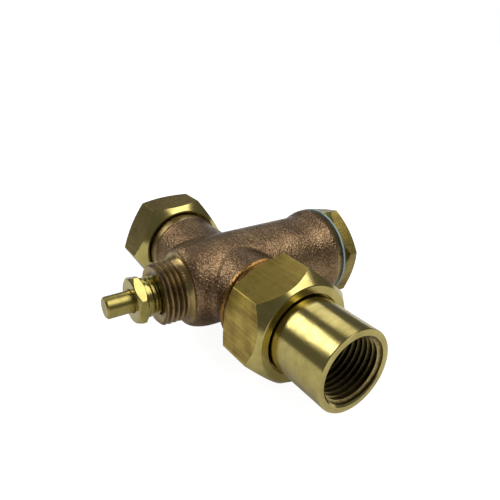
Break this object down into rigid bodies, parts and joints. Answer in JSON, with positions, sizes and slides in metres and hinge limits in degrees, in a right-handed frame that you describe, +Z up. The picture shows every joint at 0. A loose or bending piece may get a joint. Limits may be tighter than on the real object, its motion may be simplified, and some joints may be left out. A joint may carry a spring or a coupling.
{
  "type": "pressure relief valve",
  "caption": "Bronze pressure relief valve with a push stem, packing gland, hexagon cap, inlet swivel nut and an outlet union with a female tailpiece.",
  "frame": {"origin": "on the barrel axis, in the middle of the spigot's full thread", "axes": "+X along the barrel towards the hexagon cap, -X towards the push stem; -Y along the outlet, +Y along the inlet; +Z up"},
  "size_m": [0.0915, 0.1083, 0.0376],
  "materials": {
    "bronze": "cast, shot-blasted",
    "milled_brass": "milled",
    "turned_brass": "turned, bright",
    "fibre": "matt fibre",
    "packing": "braided, greased",
    "soft_disc": "moulded",
    "spring_steel": "drawn wire"
  },
  "bodies": {
    "body": {"valve_body": "bronze", "seat_ring": "turned_brass", "guide_bush": "bronze", "packing_washer": "turned_brass", "stem_packing": "packing", "spring_cup": "turned_brass", "closing_spring": "spring_steel", "end_cap": "milled_brass", "cap_gasket": "fibre", "outlet_gasket": "fibre", "retaining_ring": "spring_steel", "inlet_washer": "fibre"},
    "stem": {"lifting_stem": "turned_brass", "disc_washer": "turned_brass", "seat_disc": "soft_disc", "disc_holder": "turned_brass", "disc_nut": "milled_brass"},
    "inlet_nut": {"inlet_nut": "milled_brass"},
    "tailpiece": {"outlet_tailpiece": "turned_brass"},
    "outlet_nut": {"outlet_nut": "milled_brass"},
    "follower": {"gland_follower": "turned_brass"},
    "gland_nut": {"gland_nut": "turned_brass"}
  },
  "joints": [
    {"name": "stem_push", "type": "slide", "parent": "body", "child": "stem", "axis": [1, 0, 0], "range_m": [0, 0.005], "stiffness_N_per_m": 12000, "springref_m": -0.005, "deforming": ["closing_spring"]},
    {"name": "inlet_nut_turn", "type": "hinge", "parent": "body", "child": "inlet_nut", "pos_m": [0.0204, 0.037, 0], "axis": [0, 1, 0], "continuous": true},
    {"name": "tailpiece_release", "type": "slide", "parent": "body", "child": "tailpiece", "axis": [0, -1, 0], "range_m": [0, 0.003]},
    {"name": "outlet_nut_turn", "type": "hinge", "parent": "tailpiece", "child": "outlet_nut", "pos_m": [0.0221, -0.035, 0], "axis": [0, -1, 0], "range_deg": [-5, 725]},
    {"name": "gland_ease", "type": "slide", "parent": "body", "child": "follower", "axis": [-1, 0, 0], "range_m": [0, 0.00134]},
    {"name": "gland_nut_turn", "type": "hinge", "parent": "follower", "child": "gland_nut", "pos_m": [-0.0079, 0, 0], "axis": [-1, 0, 0], "range_deg": [-5, 365]}
  ],
  "couplings": [
    {"joint": "outlet_nut_turn", "follows": "tailpiece_release", "rad_per_m": 4188.8},
    {"joint": "gland_nut_turn", "follows": "gland_ease", "rad_per_m": 4699.5}
  ]
}
